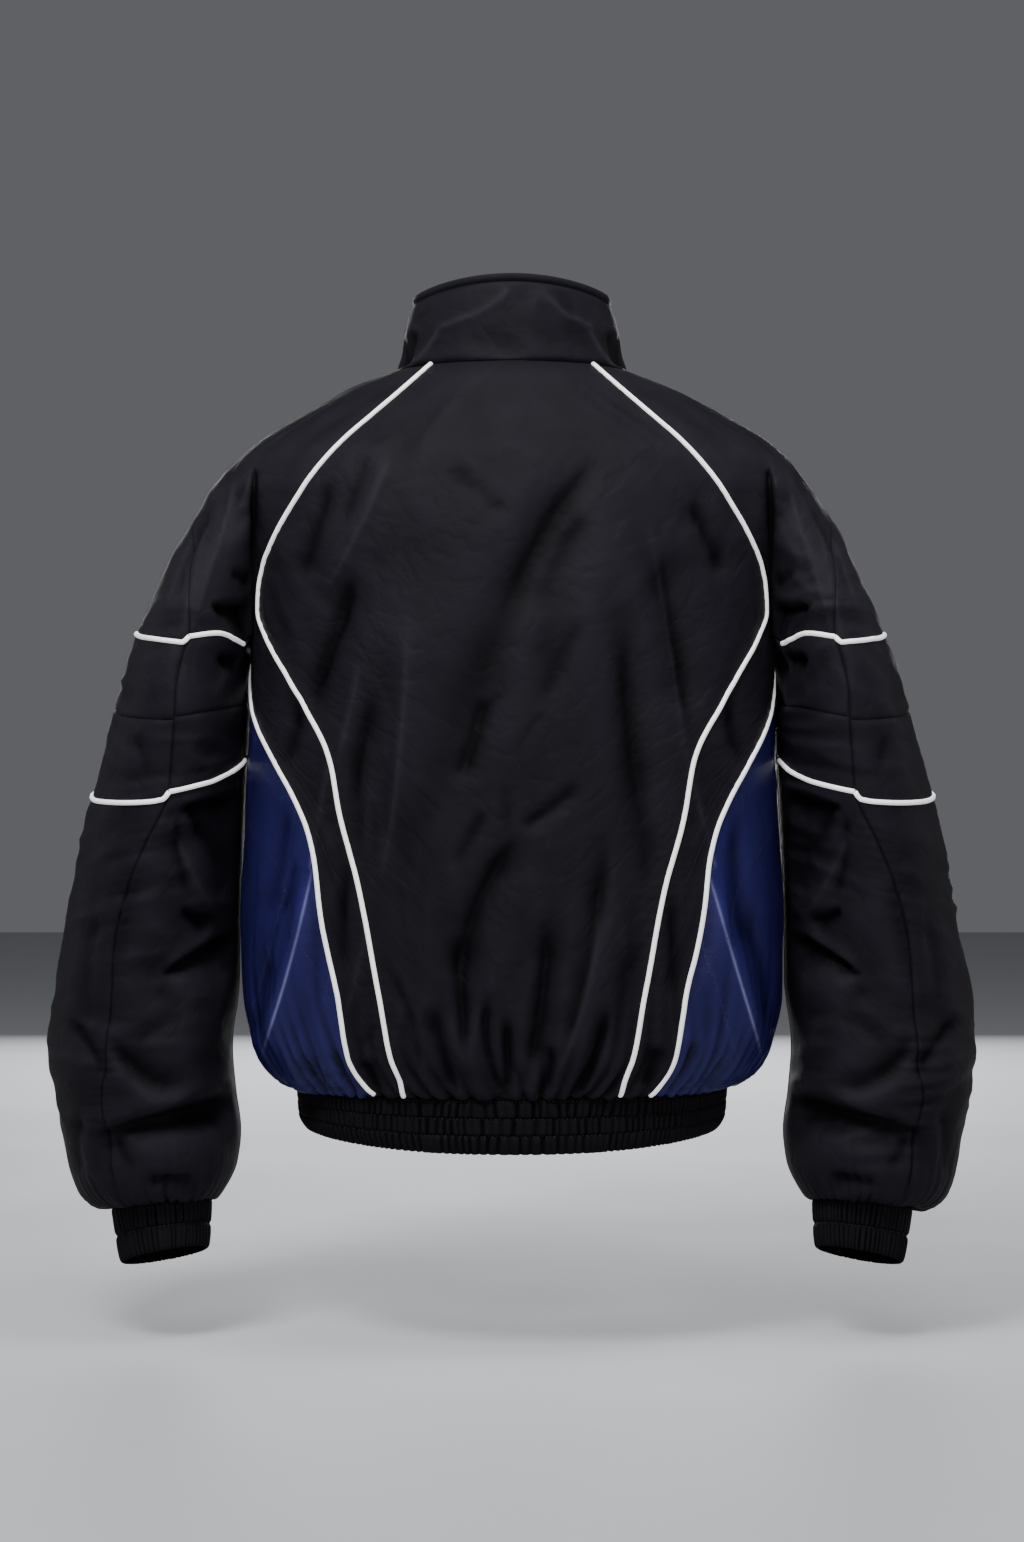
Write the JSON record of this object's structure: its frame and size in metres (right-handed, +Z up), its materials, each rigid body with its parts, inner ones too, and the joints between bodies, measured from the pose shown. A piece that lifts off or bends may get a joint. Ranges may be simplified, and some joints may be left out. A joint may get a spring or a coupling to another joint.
{
  "type": "windbreaker",
  "caption": "Hip-length zipped windbreaker with raglan sleeves, stand collar, navy side panels, white piping and gathered cuffs and hem, filled out as when worn.",
  "frame": {"origin": "middle of the neck opening, level with the side points of the neck seam, where the wearer's neck and shoulders hold the garment", "axes": "+Z up, +Y to the zipped front, -Y to the back, +X to the wearer's right"},
  "size_m": [0.754, 0.3254, 0.8041],
  "materials": {
    "black_nylon": "matte satin nylon",
    "navy_satin": "satin nylon",
    "white_piping": "plain woven",
    "black_elastic": "gathered over elastic",
    "zip_tape": "woven tape",
    "black_plastic": "moulded teeth",
    "dark_metal": "dark satin"
  },
  "bodies": {
    "jacket": {"back_panel": "black_nylon", "side_strip_left": "black_nylon", "side_strip_right": "black_nylon", "side_panel_left": "navy_satin", "side_panel_right": "navy_satin", "front_left": "black_nylon", "front_right": "black_nylon", "cap_back_left": "black_nylon", "cap_back_right": "black_nylon", "cap_front_left": "black_nylon", "cap_front_right": "black_nylon", "upper_band_inner_left": "black_nylon", "upper_band_inner_right": "black_nylon", "upper_band_outer_left": "black_nylon", "upper_band_outer_right": "black_nylon", "lower_band_inner_left": "black_nylon", "lower_band_inner_right": "black_nylon", "lower_band_outer_left": "black_nylon", "lower_band_outer_right": "black_nylon", "sleeve_inner_left": "black_nylon", "sleeve_inner_right": "black_nylon", "sleeve_outer_left": "black_nylon", "sleeve_outer_right": "black_nylon", "cuff_left": "black_elastic", "cuff_right": "black_elastic", "raglan_piping_left": "white_piping", "raglan_piping_right": "white_piping", "side_piping_left": "white_piping", "side_piping_right": "white_piping", "sleeve_piping_upper_inner_left": "white_piping", "sleeve_piping_upper_inner_right": "white_piping", "sleeve_piping_upper_outer_left": "white_piping", "sleeve_piping_upper_outer_right": "white_piping", "sleeve_piping_lower_inner_left": "white_piping", "sleeve_piping_lower_inner_right": "white_piping", "sleeve_piping_lower_outer_left": "white_piping", "sleeve_piping_lower_outer_right": "white_piping", "zip_tape_left": "zip_tape", "zip_tape_right": "zip_tape", "collar": "black_nylon", "collar_edge": "black_nylon", "hem_band": "black_elastic", "zip_chain": "black_plastic", "zip_slider": "dark_metal"},
    "pull_tab": {"zip_pull_tab": "dark_metal"}
  },
  "joints": [
    {"name": "pull_tab_hinge", "type": "hinge", "parent": "jacket", "child": "pull_tab", "pos_m": [0, 0.06792, 0.02377], "axis": [1, 0, 0], "range_deg": [0, 150]}
  ]
}
